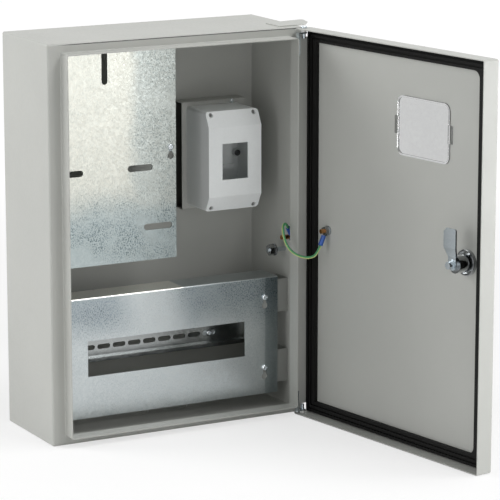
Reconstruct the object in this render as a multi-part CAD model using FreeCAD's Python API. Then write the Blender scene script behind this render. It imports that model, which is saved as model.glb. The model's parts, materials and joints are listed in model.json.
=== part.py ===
import FreeCAD, Part
import math
import os

from FreeCAD import Vector

# Wall-mounted electric meter cabinet in folded sheet steel, door open.
# All sizes are in millimetres. The origin is the middle of the back face, where the cabinet
# meets the wall: +X right, +Y into the wall, +Z up, and the door opens towards -Y.

# Cabinet body
cabinet_width = 352.0
cabinet_height = 500.0
body_depth = 136.0
body_sheet = 1.2
bend_radius = 2.5
collar_height = 20.0
collar_side_inset = 17.0
collar_end_inset = 11.5
collar_corner_radius = 3.0
wall_hole_radius = 4.0
wall_hole_from_side = 30.0
wall_hole_from_end = 30.0
knockout_radius = 18.0
knockout_slit = 1.6
knockout_bridge = 5.0
knockout_x = (-15.0, 41.0)
knockout_from_wall = 36.0

# Door
door_sheet = 1.2
door_fold = 23.5
door_gap = 3.0
door_end_margin = 0.5
door_open_angle = 99.0
door_relief_height = 12.0
window_width = 96.0
window_height = 74.0
window_corner_radius = 10.0
window_from_hinge_side = 221.5
window_below_top = 101.0
pane_lap = 3.5
pane_thickness = 1.5
pane_clearance = 0.25
pane_clip_width = 6.5
pane_clip_height = 22.0

# Door seal
seal_clearance = 0.3
seal_outer_inset = 2.6
seal_side_width = 24.0
seal_hinge_width = 17.5
seal_end_width = 14.5
seal_corner_radius = 10.0
seal_groove_insets = (7.0, 12.5)
seal_groove_width = 2.2
seal_groove_depth = 2.2

# Hinges
pin_radius = 2.5
pin_clearance = 0.05
pin_from_side = 6.0
pin_from_flange = 11.6
hinge_sheet = 2.0
hinge_eye_radius = 4.1
hinge_leg_width = 7.3
hinge_leg_height = 28.0
hinge_tab_from_end = 5.2
hinge_bush_radius = 3.4
pin_head_radius = 4.0
pin_head_height = 2.6
pin_above_lower_tab = 6.0
pin_below_upper_tab = 6.0

# Corner plate on the top, beside the upper hinge: its outline seen from above
corner_plate_sheet = 1.2
corner_plate_points = ((146.0, -92.5), (204.0, -83.0), (199.0, -106.0), (184.5, -126.0), (146.0, -128.0))
corner_plate_radius = 4.0

# Lock, on the side of the door away from the hinges
lock_from_free_side = 48.0
lock_body_radius = 10.8
lock_body_length = 22.0
lock_hole_clearance = 0.2
lock_flange_radius = 13.5
lock_flange_height = 2.6
lock_ring_radius = 16.2
lock_ring_height = 4.5
lock_ring_rim = 2.4
lock_ring_dish_depth = 3.0
lock_core_radius = 7.0
lock_core_clearance = 0.06
lock_key_width = 3.0
lock_key_span = 9.0
lock_spindle_side = 7.0
cam_sheet = 2.0
cam_length = 45.0
cam_width = 21.5
cam_neck_width = 14.0
cam_neck_depth = 24.5
cam_clearance = 0.8
cam_bend_start = 11.0
cam_bend_end = 22.0
cam_bolt_radius = 3.0
cam_bolt_head_radius = 5.0
cam_bolt_head_height = 5.5
cam_washer_radius = 6.5
cam_washer_height = 1.0

# Meter plate, upper left
plate_sheet = 1.5
plate_front = 80.0
plate_left = -172.4
plate_width = 196.6
plate_bottom = 209.0
plate_height = 279.0
plate_slot_width = 8.0
plate_slot_rows = ((118.8, 30.7, 65.4), (42.5, 52.6, 92.3))
plate_top_slot_low = 227.5
plate_top_slot_length = 42.0
plate_screw_inset = 7.6
plate_screw_height = 142.5
plate_post_width = 24.0
plate_post_below_screw = 6.0
plate_post_above_screw = 30.0

# Cover over the row of modules, lower part
cover_sheet = 1.2
cover_front = 101.2
cover_width = 318.0
cover_bottom = 20.0
cover_height = 154.0
cover_top_flange = 41.0
cover_window_width = 222.0
cover_window_height = 46.0
cover_window_bottom = 53.0
cover_screw_inset = 18.7
cover_screw_heights = (34.5, 128.0)
cover_bracket_height = 43.0
cover_bracket_past_screw = 9.3
cover_bracket_leg = 30.0
cover_bracket_sheet = 1.5

# Keyholes and pan head screws of the plate and the cover
keyhole_drop = 11.5
keyhole_wide_radius = 4.3
keyhole_slot_width = 4.6
screw_radius = 2.0
screw_head_radius = 4.0
screw_head_height = 2.4
screw_length = 9.0
screw_recess_depth = 1.2
screw_recess_width = 1.0

# Mounting rail behind the cover's window
rail_width = 35.0
rail_depth = 7.5
rail_sheet = 1.0
rail_web_width = 27.0
rail_left = -125.0
rail_length = 232.0
rail_front = 55.5
rail_slot_length = 18.0
rail_slot_width = 6.2
rail_slot_pitch = 21.5
rail_slot_count = 10
rail_first_slot = 17.5
rail_post_width = 22.0
rail_post_sheet = 1.5

# Box for two modules, upper right, on a raised frame
frame_side_margin = 7.9
frame_end_margin = 5.8
frame_depth = 20.8
frame_sheet = 1.5
frame_middle_x = 107.8
frame_middle_z = 326.0
module_box_width = 75.2
module_box_height = 128.4
module_box_middle_x = 106.4
module_box_side_depth = 52.0
module_box_crown = 10.5
module_box_slope = 19.5
module_box_wall = 2.0
module_box_split = 42.0
module_box_corner_radius = 4.0
module_window_width = 36.8
module_window_height = 46.5
module_screw_inset_x = 7.0
module_screw_inset_z = 4.4
module_screw_well_radius = 2.8
module_screw_well_depth = 1.6
module_rail_length = 43.0
module_rail_stand = 9.0
module_fixing_inset = 7.0
module_fixing_boss_radius = 4.6
module_fixing_boss_height = 8.0
frame_screw_from_side = 18.8
frame_screw_head_radius = 2.6
frame_screw_head_height = 2.0

# Earthing
earth_stud_radius = 3.0
earth_stud_height = 245.0
door_stud_from_hinge = 40.0
door_stud_length = 12.0
body_stud_from_wall = 118.0
body_stud_above_bottom = 228.0
body_stud_length = 20.0
earth_nut_flats = 10.0
earth_nut_height = 5.0
earth_washer_radius = 6.2
earth_washer_height = 1.2
terminal_ring_radius = 5.4
terminal_sheet = 0.9
terminal_sleeve_radius = 3.0
terminal_sleeve_length = 13.0
terminal_reach = 6.5
terminal_flat = 6.0
door_terminal_lean = 25.0
body_terminal_lean = 45.0
body_terminal_turn = 50.0
bolt_from_wall = 92.0
bolt_above_bottom = 207.0
bolt_radius = 3.0
bolt_length = 26.0
bolt_head_flats = 13.0
bolt_head_height = 7.5
wire_radius = 1.7

half_width = cabinet_width / 2
half_height = cabinet_height / 2
window_middle_z = half_height - window_below_top
front_y = -body_depth
door_face_y = front_y - door_gap - door_fold
pin_x = half_width - pin_from_side
pin_y = front_y - pin_from_flange
seal_thickness = door_gap + door_fold - door_sheet - collar_height - seal_clearance
X_AXIS = Vector(1, 0, 0)
Y_AXIS = Vector(0, 1, 0)
Z_AXIS = Vector(0, 0, 1)


def high(value):
    """Height in the part's frame of a point given above the cabinet's underside."""
    return value - half_height


def block(x0, x1, y0, y1, z0, z1):
    return Part.makeBox(x1 - x0, y1 - y0, z1 - z0, Vector(x0, y0, z0))


def rod(radius, start, direction, length):
    return Part.makeCylinder(radius, length, Vector(*start), direction)


def fuse(shapes):
    return shapes[0].multiFuse(shapes[1:]).removeSplitter()


def round_edges(shape, radius, chosen):
    """Rounds every edge for which chosen(edge) holds."""
    edges = [edge for edge in shape.Edges if chosen(edge)]
    return shape.makeFillet(radius, edges)


def direction_of(edge):
    if not isinstance(edge.Curve, Part.Line):
        return None
    return edge.tangentAt(edge.FirstParameter)


def along(edge, axis):
    direction = direction_of(edge)
    return direction is not None and abs(direction.dot(axis)) > 0.999


def rounded_block(x0, x1, y0, y1, z0, z1, radius, axis):
    """A block with the four edges along an axis rounded."""
    return round_edges(block(x0, x1, y0, y1, z0, z1), radius, lambda edge: along(edge, axis))


def slot_cutter(centre, length, width, y0, y1, upright=False):
    """A round-ended slot in the X-Z plane, cut from y0 to y1."""
    x, z = centre
    half = (length - width) / 2
    radius = width / 2
    if upright:
        body = block(x - radius, x + radius, y0, y1, z - half, z + half)
        ends = [(x, y0, z - half), (x, y0, z + half)]
    else:
        body = block(x - half, x + half, y0, y1, z - radius, z + radius)
        ends = [(x - half, y0, z), (x + half, y0, z)]
    return fuse([body] + [rod(radius, end, Y_AXIS, y1 - y0) for end in ends])


def keyhole_cutter(x, z, y0, y1):
    """A wide hole with a narrow slot that rises from it to the screw at (x, z)."""
    depth = y1 - y0
    low = z - keyhole_drop
    half = keyhole_slot_width / 2
    parts = [rod(keyhole_wide_radius, (x, y0, low), Y_AXIS, depth)]
    parts.append(block(x - half, x + half, y0, y1, low, z))
    parts.append(rod(half, (x, y0, z), Y_AXIS, depth))
    return fuse(parts)


def hexagon(flats, height, start, direction):
    """A hexagonal prism with its flats a given distance apart."""
    radius = flats / math.sqrt(3)
    corners = [Vector(radius * math.cos(math.radians(60 * k)), radius * math.sin(math.radians(60 * k)), 0)
               for k in range(7)]
    prism = Part.Face(Part.makePolygon(corners)).extrude(Vector(0, 0, height))
    turn = FreeCAD.Rotation(Z_AXIS, direction)
    prism.Placement = FreeCAD.Placement(Vector(*start), turn)
    return prism


def pan_screw(x, y, z):
    """A pan head screw with a cross recess, its head seated at y and its shank running to +Y."""
    head = rod(screw_head_radius, (x, y - screw_head_height, z), Y_AXIS, screw_head_height)
    rim = lambda edge: edge.BoundBox.YMax < y - screw_head_height + 0.01
    head = round_edges(head, screw_head_height * 0.6, rim)
    half = screw_recess_width / 2
    reach = screw_head_radius * 0.6
    top = y - screw_head_height - 1
    floor = y - screw_head_height + screw_recess_depth
    head = head.cut(block(x - half, x + half, top, floor, z - reach, z + reach))
    head = head.cut(block(x - reach, x + reach, top, floor, z - half, z + half))
    shank = rod(screw_radius, (x, y, z), Y_AXIS, screw_length)
    return fuse([head, shank])


def door_point(s, k, height):
    """A point on the closed door: s from the hinge side, k in from the outer face."""
    return Vector(half_width - s, door_face_y + k, height)


def swing(shape):
    """Turns a shape of the closed door about the hinge pins to the open rest position."""
    turned = shape.copy()
    turned.rotate(Vector(pin_x, pin_y, 0), Z_AXIS, door_open_angle)
    return turned


def swing_point(point):
    turn = FreeCAD.Rotation(Z_AXIS, door_open_angle)
    pin = Vector(pin_x, pin_y, 0)
    return pin + turn.multVec(point - pin)


# Cabinet body: a closed box with a flanged front and a collar that stands forward round the
# opening. The seal on the door presses on the collar's edge.
def cabinet_shell():
    outer = block(-half_width, half_width, front_y, 0, -half_height, half_height)
    outer = outer.makeFillet(bend_radius, outer.Edges)
    t = body_sheet
    inner = block(-half_width + t, half_width - t, front_y + t, -t, -half_height + t, half_height - t)
    inner = inner.makeFillet(bend_radius - t, inner.Edges)
    shell = outer.cut(inner)
    x_out = half_width - collar_side_inset
    z_out = half_height - collar_end_inset
    collar = rounded_block(-x_out, x_out, front_y - collar_height, front_y + t, -z_out, z_out,
                           collar_corner_radius, Y_AXIS)
    hole = rounded_block(-x_out + t, x_out - t, front_y - collar_height - 1, front_y + t + 1,
                         -z_out + t, z_out - t, collar_corner_radius - t, Y_AXIS)
    shell = shell.fuse(collar).cut(hole).removeSplitter()

    def bend(edge, plane, x_limit, z_limit):
        box = edge.BoundBox
        if abs(box.YMin - plane) > 0.01 or abs(box.YMax - plane) > 0.01:
            return False
        on_side = abs(max(abs(box.XMin), abs(box.XMax)) - x_limit) < 0.01
        on_end = abs(max(abs(box.ZMin), abs(box.ZMax)) - z_limit) < 0.01
        inside = max(abs(box.XMin), abs(box.XMax)) < x_limit + 0.01
        return inside and (on_side or on_end)

    shell = round_edges(shell, body_sheet, lambda e: bend(e, front_y, x_out, z_out))
    shell = round_edges(shell, body_sheet, lambda e: bend(e, front_y + t, x_out - t, z_out - t))
    for sx in (-1, 1):
        for sz in (-1, 1):
            start = (sx * (half_width - wall_hole_from_side), -t - 1, sz * (half_height - wall_hole_from_end))
            shell = shell.cut(rod(wall_hole_radius, start, Y_AXIS, t + 2))
    for x in knockout_x:
        shell = shell.cut(knockout_cutter(x))
    return shell


def knockout_cutter(x):
    """A round slit in the floor, left whole at two bridges."""
    start = (x, -knockout_from_wall, -half_height - 1)
    depth = body_sheet + 2
    ring = rod(knockout_radius, start, Z_AXIS, depth)
    ring = ring.cut(rod(knockout_radius - knockout_slit, start, Z_AXIS, depth))
    half = knockout_bridge / 2
    reach = knockout_radius + 1
    bridge = block(x - reach, x + reach, start[1] - half, start[1] + half, start[2], start[2] + depth)
    return ring.cut(bridge)


# Door: a pan with its four sides folded back, a rounded window opening and a lock hole.
def door_panel():
    margin = door_end_margin
    top = half_height - margin
    back = door_face_y + door_fold
    outer = block(-half_width, half_width, door_face_y, back, -top, top)
    front_edge = lambda e: e.BoundBox.YMax < door_face_y + 0.01
    corner = lambda e: along(e, Y_AXIS)
    outer = round_edges(outer, bend_radius, lambda e: front_edge(e) or corner(e))
    t = door_sheet
    inner = block(-half_width + t, half_width - t, door_face_y + t, back + 1, -top + t, top - t)
    inner_front = lambda e: e.BoundBox.YMax < door_face_y + t + 0.01
    inner = round_edges(inner, bend_radius - t, lambda e: inner_front(e) or corner(e))
    panel = outer.cut(inner)
    # The hinge side fold stops short of the corners, to clear the hinge tabs.
    for sign in (-1, 1):
        ends = sorted((sign * (top - bend_radius), sign * (top - door_relief_height)))
        panel = panel.cut(block(half_width - t - 0.5, half_width + 1, door_face_y + bend_radius, back + 1,
                                ends[0], ends[1]))
    for start_z in (-top - 1, top - t - 1):
        panel = panel.cut(rod(pin_radius + pin_clearance, (pin_x, pin_y, start_z), Z_AXIS, t + 2))
    centre = half_width - window_from_hinge_side
    opening = rounded_block(centre - window_width / 2, centre + window_width / 2, door_face_y - 1,
                            door_face_y + t + 1, window_middle_z - window_height / 2,
                            window_middle_z + window_height / 2, window_corner_radius, Y_AXIS)
    lock_hole = rod(lock_body_radius + lock_hole_clearance, (lock_x, door_face_y - 1, 0), Y_AXIS, t + 2)
    return swing(panel.cut(opening).cut(lock_hole))


def window_pane():
    """A clear moulded pane: a lip outside, a plug in the opening and a snap clip at each side."""
    centre = half_width - window_from_hinge_side
    y = door_face_y
    z = window_middle_z
    lap = pane_lap
    gap = pane_clearance
    lip = rounded_block(centre - window_width / 2 - lap, centre + window_width / 2 + lap,
                        y - pane_thickness, y, z - window_height / 2 - lap, z + window_height / 2 + lap,
                        window_corner_radius + lap, Y_AXIS)
    lip = round_edges(lip, pane_thickness * 0.6, lambda e: e.BoundBox.YMax < y - pane_thickness + 0.01)
    plug_back = y + door_sheet + pane_thickness
    plug = rounded_block(centre - window_width / 2 + gap, centre + window_width / 2 - gap, y, plug_back,
                         z - window_height / 2 + gap, z + window_height / 2 - gap,
                         window_corner_radius - gap, Y_AXIS)
    edge = 2.0
    hollow = rounded_block(centre - window_width / 2 + gap + edge, centre + window_width / 2 - gap - edge,
                           y + 0.6, plug_back + 1, z - window_height / 2 + gap + edge,
                           z + window_height / 2 - gap - edge, window_corner_radius - gap - edge, Y_AXIS)
    plug = plug.cut(hollow)
    clips = []
    for sign in (-1, 1):
        near = centre + sign * (window_width / 2 - 2 * edge + 1)
        far = centre + sign * (window_width / 2 + pane_clip_width - 2)
        x0, x1 = sorted((near, far))
        clips.append(block(x0, x1, y + door_sheet + 0.1, plug_back, z - pane_clip_height / 2,
                           z + pane_clip_height / 2))
    return swing(fuse([lip, plug] + clips))


def door_seal():
    """A rubber strip inside the folds, of a different width on each side, with two grooves in its face."""
    t = door_sheet
    top = half_height - door_end_margin

    def ring_block(inset_x, inset_z, y0, y1, radius):
        return rounded_block(-half_width + inset_x, half_width - inset_x, y0, y1, -top + inset_z,
                             top - inset_z, radius, Y_AXIS)

    back = door_face_y + t
    front = back + seal_thickness
    seal = ring_block(seal_outer_inset, seal_outer_inset, back, front, bend_radius)
    hole_low = -half_width + seal_outer_inset + seal_side_width
    hole_high = half_width - seal_outer_inset - seal_hinge_width
    reach = top - seal_outer_inset - seal_end_width
    hole = block(hole_low, hole_high, back - 1, front + 1, -reach, reach)
    far_corner = lambda e: along(e, Y_AXIS) and e.BoundBox.XMax < hole_low + 0.01
    seal = seal.cut(round_edges(hole, seal_corner_radius, far_corner))
    for inset in seal_groove_insets:
        half = seal_groove_width / 2
        groove = ring_block(inset - half, inset - half, front - seal_groove_depth, front + 1, bend_radius)
        core = ring_block(inset + half, inset + half, front - seal_groove_depth - 1, front + 2, bend_radius)
        seal = seal.cut(groove.cut(core))
    return swing(seal)


# Hinges: a tab on the collar with an eye for the pin, top and bottom.
tab_low_z = -half_height + hinge_tab_from_end
tab_high_z = half_height - hinge_tab_from_end - hinge_sheet


def hinge_bracket(tab_z, upward):
    """A leg along the collar's outer face, and a level tab that carries the pin."""
    t = hinge_sheet
    leg_x = half_width - collar_side_inset
    leg_front = pin_y - 0.3 - hinge_leg_width
    leg_back = leg_front + hinge_leg_width
    eye = rod(hinge_eye_radius, (pin_x, pin_y, tab_z), Z_AXIS, t)
    strap = block(leg_x, pin_x, leg_front, leg_back, tab_z, tab_z + t)
    strap = strap.common(block(leg_x, pin_x, pin_y - hinge_eye_radius, leg_back, tab_z, tab_z + t))
    corner = block(leg_x, leg_x + t, leg_front, leg_back, tab_z, tab_z + t)
    z0, z1 = (tab_z, tab_z + hinge_leg_height) if upward else (tab_z + t - hinge_leg_height, tab_z + t)
    leg = block(leg_x, leg_x + t, leg_front, leg_back, z0, z1)
    bracket = fuse([eye, strap, corner, leg])
    return bracket.cut(rod(pin_radius, (pin_x, pin_y, tab_z - 1), Z_AXIS, t + 2))


def hinge_pins():
    """The upper pin drops in from above; the lower one stands in its tab."""
    low = -half_height + 0.3
    lower = rod(pin_radius, (pin_x, pin_y, low), Z_AXIS, tab_low_z + hinge_sheet + pin_above_lower_tab - low)
    top = half_height - door_end_margin + 0.2
    bottom = tab_high_z - pin_below_upper_tab
    upper = rod(pin_radius, (pin_x, pin_y, bottom), Z_AXIS, top - bottom)
    head = rod(pin_head_radius, (pin_x, pin_y, top), Z_AXIS, pin_head_height)
    head = round_edges(head, pin_head_height * 0.5, lambda e: e.BoundBox.ZMin > top + pin_head_height - 0.01)
    return lower, fuse([upper, head])


def hinge_bushes():
    """The upper bush carries the door's weight on the upper tab; the lower one fills its gap."""
    fold_low = -half_height + door_end_margin + door_sheet
    fold_high = half_height - door_end_margin - door_sheet
    bushes = []
    for z0, z1 in ((fold_low + 0.2, tab_low_z), (tab_high_z + hinge_sheet, fold_high)):
        bush = rod(hinge_bush_radius, (pin_x, pin_y, z0), Z_AXIS, z1 - z0)
        bushes.append(bush.cut(rod(pin_radius, (pin_x, pin_y, z0 - 1), Z_AXIS, z1 - z0 + 2)))
    return bushes


def corner_plate():
    """A flat sheet plate welded to the top, whose corner stands out past the side wall."""
    points = [Vector(x, y, half_height) for x, y in corner_plate_points]
    plate = Part.Face(Part.makePolygon(points + points[:1])).extrude(Vector(0, 0, corner_plate_sheet))
    outer = lambda e: along(e, Z_AXIS) and e.BoundBox.XMin > half_width
    return round_edges(plate, corner_plate_radius, outer)


# Quarter-turn lock
lock_x = -half_width + lock_from_free_side
cam_hook_depth = door_gap + door_fold + body_sheet + cam_clearance


def lock_axis_rod(radius, k0, k1):
    return rod(radius, (lock_x, door_face_y + k0, 0), Y_AXIS, k1 - k0)


def lock_body():
    flange = lock_axis_rod(lock_flange_radius, -lock_flange_height, 0)
    flange = round_edges(flange, 1.2, lambda e: e.BoundBox.YMax < door_face_y - lock_flange_height + 0.01)
    barrel = lock_axis_rod(lock_body_radius, 0, lock_body_length)
    body = fuse([flange, barrel])
    bore_radius = lock_core_radius + lock_core_clearance
    bore = lock_axis_rod(bore_radius, -lock_flange_height - 1, lock_body_length + 1)
    return swing(body.cut(bore))


def lock_ring():
    """The round nut that clamps the lock: a dish with a raised rim, on the door's inner face."""
    k0 = door_sheet
    k1 = k0 + lock_ring_height
    ring = lock_axis_rod(lock_ring_radius, k0, k1)
    ring = round_edges(ring, lock_ring_rim * 0.4, lambda e: e.BoundBox.YMin > door_face_y + k1 - 0.01)
    dish = lock_axis_rod(lock_ring_radius - lock_ring_rim, k1 - lock_ring_dish_depth, k1 + 1)
    return swing(ring.cut(dish).cut(lock_axis_rod(lock_body_radius, 0, k1 + 1)))


def lock_core():
    """The turning core: a double-bit key well outside, a square spindle and its threaded end inside."""
    well_floor = 6.0
    core = lock_axis_rod(lock_core_radius, -lock_flange_height + 0.6, cam_neck_depth)
    well = lock_axis_rod(lock_core_radius - 1.4, -lock_flange_height - 1, well_floor)
    key_pin = lock_axis_rod(1.6, -lock_flange_height + 1.4, well_floor + 1)
    half = lock_key_width / 2
    bits_front = door_face_y - lock_flange_height + 1.4
    bits = block(lock_x - half, lock_x + half, bits_front, door_face_y + well_floor, -lock_key_span / 2,
                 lock_key_span / 2)
    side = lock_spindle_side / 2
    spindle = block(lock_x - side, lock_x + side, door_face_y + lock_body_length, door_face_y + cam_neck_depth
                    + cam_sheet, -side, side)
    return swing(fuse([core.cut(well), key_pin, bits, spindle]))


def lock_cam():
    """A flat cam on the spindle, stepped so that its end hooks behind the front flange."""
    t = cam_sheet
    k0 = cam_neck_depth
    k1 = cam_hook_depth
    eye = cam_neck_width / 2
    side = [(-eye, k0), (cam_bend_start, k0), (cam_bend_end, k1), (cam_length, k1), (cam_length, k1 + t),
            (cam_bend_end - 1.0, k1 + t), (cam_bend_start - 1.0, k0 + t), (-eye, k0 + t)]
    half = cam_width / 2
    points = [Vector(lock_x - half, door_face_y + k, z) for z, k in side]
    strip = Part.Face(Part.makePolygon(points + points[:1])).extrude(Vector(cam_width, 0, 0))
    chamfer = 5.0
    plan = [(-half, cam_bend_end), (-half, cam_length - 1.5), (-half + 1.5, cam_length),
            (half - chamfer, cam_length), (half, cam_length - chamfer), (half, cam_bend_end),
            (eye, cam_bend_start - 2), (eye, 0), (-eye, 0), (-eye, cam_bend_start - 2)]
    corners = [Vector(lock_x + x, door_face_y + k0 - 1, z) for x, z in plan]
    outline = Part.Face(Part.makePolygon(corners + corners[:1])).extrude(Vector(0, k1 - k0 + t + 2, 0))
    neck = lock_axis_rod(eye, k0 - 1, k0 + t + 1)
    cam = strip.common(fuse([outline, neck]))
    gap = lock_spindle_side / 2 + 0.05
    hole = block(lock_x - gap, lock_x + gap, door_face_y + k0 - 1, door_face_y + k0 + t + 1, -gap, gap)
    return swing(cam.cut(hole))


def cam_bolt():
    k0 = cam_neck_depth + cam_sheet
    washer = lock_axis_rod(cam_washer_radius, k0, k0 + cam_washer_height)
    head = hexagon(cam_bolt_head_radius * math.sqrt(3), cam_bolt_head_height,
                   (lock_x, door_face_y + k0 + cam_washer_height, 0), Y_AXIS)
    cone = lock_axis_rod(cam_bolt_head_radius * 0.94, k0, k0 + cam_washer_height + cam_bolt_head_height)
    return swing(fuse([washer, head.common(cone)]))


# Meter plate: a galvanised sheet with slots for meters of different sizes, hung on two screws.
def plate_xs():
    return plate_left + plate_screw_inset, plate_left + plate_width - plate_screw_inset


def meter_plate():
    y0 = -plate_front
    y1 = y0 + plate_sheet
    z0 = high(plate_bottom)
    plate = rounded_block(plate_left, plate_left + plate_width, y0, y1, z0, z0 + plate_height, 1.5, Y_AXIS)
    middle = plate_left + plate_width / 2
    cutters = []
    for height, near, far in plate_slot_rows:
        for sign in (-1, 1):
            centre = middle + sign * (near + far) / 2
            cutters.append(slot_cutter((centre, z0 + height), far - near, plate_slot_width, y0 - 1, y1 + 1))
    low = z0 + plate_top_slot_low
    cutters.append(slot_cutter((middle, low + plate_top_slot_length / 2), plate_top_slot_length,
                               plate_slot_width, y0 - 1, y1 + 1, upright=True))
    for x in plate_xs():
        cutters.append(keyhole_cutter(x, z0 + plate_screw_height, y0 - 1, y1 + 1))
    for cutter in cutters:
        plate = plate.cut(cutter)
    return plate


def channel(x0, x1, y_front, y_back, z0, z1, t):
    """A channel standing off the back wall: a front web and two legs back to the wall."""
    solid = block(x0, x1, y_front, y_back, z0, z1)
    front_bend = lambda e: along(e, Z_AXIS) and e.BoundBox.YMax < y_front + 0.01
    solid = round_edges(solid, bend_radius - 1, front_bend)
    core = block(x0 + t, x1 - t, y_front + t, y_back + 1, z0 - 1, z1 + 1)
    return solid.cut(core)


def plate_post():
    x = plate_xs()[1]
    z = high(plate_bottom) + plate_screw_height
    y_front = -plate_front + plate_sheet
    post = channel(x - plate_post_width / 2, x + plate_post_width / 2 - 6, y_front, -body_sheet,
                   z - plate_post_below_screw, z + plate_post_above_screw, cover_bracket_sheet)
    return post.cut(rod(screw_radius, (x, y_front - 1, z), Y_AXIS, 5))


def side_bracket(sign, y_front, reach, leg, z0, z1, screw_x, screw_z):
    """An angle on a side wall: a leg along the wall and a front tab that takes a screw."""
    t = cover_bracket_sheet
    wall = half_width - body_sheet
    x_far = wall - reach
    xs = sorted((sign * wall, sign * x_far))
    tab = block(xs[0], xs[1], y_front, y_front + t, z0, z1)
    legs = sorted((sign * wall, sign * (wall - t)))
    wall_leg = block(legs[0], legs[1], y_front, y_front + leg, z0, z1)
    bracket = fuse([tab, wall_leg])
    return bracket.cut(rod(screw_radius, (screw_x, y_front - 1, screw_z), Y_AXIS, t + 2))


def plate_side_bracket():
    x = plate_xs()[0]
    z = high(plate_bottom) + plate_screw_height
    return side_bracket(-1, -plate_front + plate_sheet, plate_post_width, cover_bracket_leg,
                        z - plate_post_below_screw, z + plate_post_above_screw, x, z)


def plate_screws():
    z = high(plate_bottom) + plate_screw_height
    return [pan_screw(x, -plate_front, z) for x in plate_xs()]


# Cover over the modules: a galvanised sheet with a window, and a deep flange along its top.
def cover_screw_points():
    z0 = high(cover_bottom)
    x = cover_width / 2 - cover_screw_inset
    return [(sign * x, z0 + height) for sign in (-1, 1) for height in cover_screw_heights]


def module_cover():
    half = cover_width / 2
    y0 = -cover_front
    t = cover_sheet
    z0 = high(cover_bottom)
    z1 = z0 + cover_height
    solid = block(-half, half, y0, y0 + cover_top_flange, z0, z1)
    top_bend = lambda e: along(e, X_AXIS) and e.BoundBox.YMax < y0 + 0.01 and e.BoundBox.ZMin > z1 - 0.01
    solid = round_edges(solid, bend_radius - 0.5, top_bend)
    core = block(-half - 1, half + 1, y0 + t, y0 + cover_top_flange + 1, z0 - 1, z1 - t)
    front_of_core = lambda e: e.BoundBox.YMax < y0 + t + 0.01 and e.BoundBox.ZMin > z1 - t - 0.01
    core = round_edges(core, bend_radius - 0.5 - t, lambda e: along(e, X_AXIS) and front_of_core(e))
    cover = solid.cut(core)
    window_z = z0 + cover_window_bottom
    window = block(-cover_window_width / 2, cover_window_width / 2, y0 - 1, y0 + t + 1, window_z,
                   window_z + cover_window_height)
    cover = cover.cut(window)
    for x, z in cover_screw_points():
        cover = cover.cut(keyhole_cutter(x, z, y0 - 1, y0 + t + 1))
    return cover


def cover_bracket(index):
    x, z = cover_screw_points()[index]
    sign = 1 if x > 0 else -1
    reach = half_width - body_sheet - abs(x) + cover_bracket_past_screw
    return side_bracket(sign, -cover_front + cover_sheet, reach, cover_bracket_leg,
                        z - cover_bracket_height / 2, z + cover_bracket_height / 2, x, z)


def cover_screws():
    return [pan_screw(x, -cover_front, z) for x, z in cover_screw_points()]


# Mounting rail for modules, with a row of slots.
rail_middle_z = high(cover_bottom) + cover_window_bottom + cover_window_height / 2


def hat_rail(x0, length, y_front, z_middle):
    """A top hat section: a web at the back, two short walls and a lip above and below."""
    t = rail_sheet
    web = rail_web_width / 2
    lip = rail_width / 2
    y_back = y_front + rail_depth
    profile = [(y_front, lip), (y_front + t, lip), (y_front + t, web), (y_back, web), (y_back, -web),
               (y_front + t, -web), (y_front + t, -lip), (y_front, -lip), (y_front, -web + t),
               (y_back - t, -web + t), (y_back - t, web - t), (y_front, web - t)]
    points = [Vector(x0, y, z_middle + z) for y, z in profile]
    return Part.Face(Part.makePolygon(points + points[:1])).extrude(Vector(length, 0, 0))


def rail_slot_xs():
    return [rail_left + rail_first_slot + k * rail_slot_pitch for k in range(rail_slot_count)]


def rail_screw_xs():
    return rail_slot_xs()[0], rail_slot_xs()[-1]


def module_rail():
    rail = hat_rail(rail_left, rail_length, -rail_front, rail_middle_z)
    y_back = -rail_front + rail_depth
    for x in rail_slot_xs():
        centre = (x, rail_middle_z)
        rail = rail.cut(slot_cutter(centre, rail_slot_length, rail_slot_width, y_back - 2, y_back + 1))
    return rail


def rail_post(x):
    y_front = -rail_front + rail_depth
    post = channel(x - rail_post_width / 2, x + rail_post_width / 2, y_front, -body_sheet,
                   rail_middle_z - rail_width / 2, rail_middle_z + rail_width / 2, rail_post_sheet)
    return post.cut(rod(screw_radius, (x, y_front - 1, rail_middle_z), Y_AXIS, 4))


def rail_screws():
    y = -rail_front + rail_depth - rail_sheet
    return [pan_screw(x, y, rail_middle_z) for x in rail_screw_xs()]


# Box for two modules on a raised frame at the back wall.
module_middle_z = high(frame_middle_z)
frame_width = module_box_width + 2 * frame_side_margin
frame_height = module_box_height + 2 * frame_end_margin
frame_front_y = -body_sheet - frame_depth


def raised_frame():
    """A bent sheet: a front plate with a leg back to the wall along its upper and lower edge."""
    t = frame_sheet
    x0 = frame_middle_x - frame_width / 2
    x1 = frame_middle_x + frame_width / 2
    z0 = module_middle_z - frame_height / 2
    z1 = module_middle_z + frame_height / 2
    solid = block(x0, x1, frame_front_y, -body_sheet, z0, z1)
    front_bend = lambda e: along(e, X_AXIS) and e.BoundBox.YMax < frame_front_y + 0.01
    solid = round_edges(solid, bend_radius - 1, front_bend)
    frame = solid.cut(block(x0 - 1, x1 + 1, frame_front_y + t, 0, z0 + t, z1 - t))
    for x, z in frame_screw_points():
        frame = frame.cut(rod(screw_radius, (x, frame_front_y - 1, z), Y_AXIS, t + 2))
    return frame


def frame_screw_points():
    x = frame_middle_x + frame_width / 2 - frame_screw_from_side
    reach = (frame_height + module_box_height) / 4
    return [(x, module_middle_z - reach), (x, module_middle_z + reach)]


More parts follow.
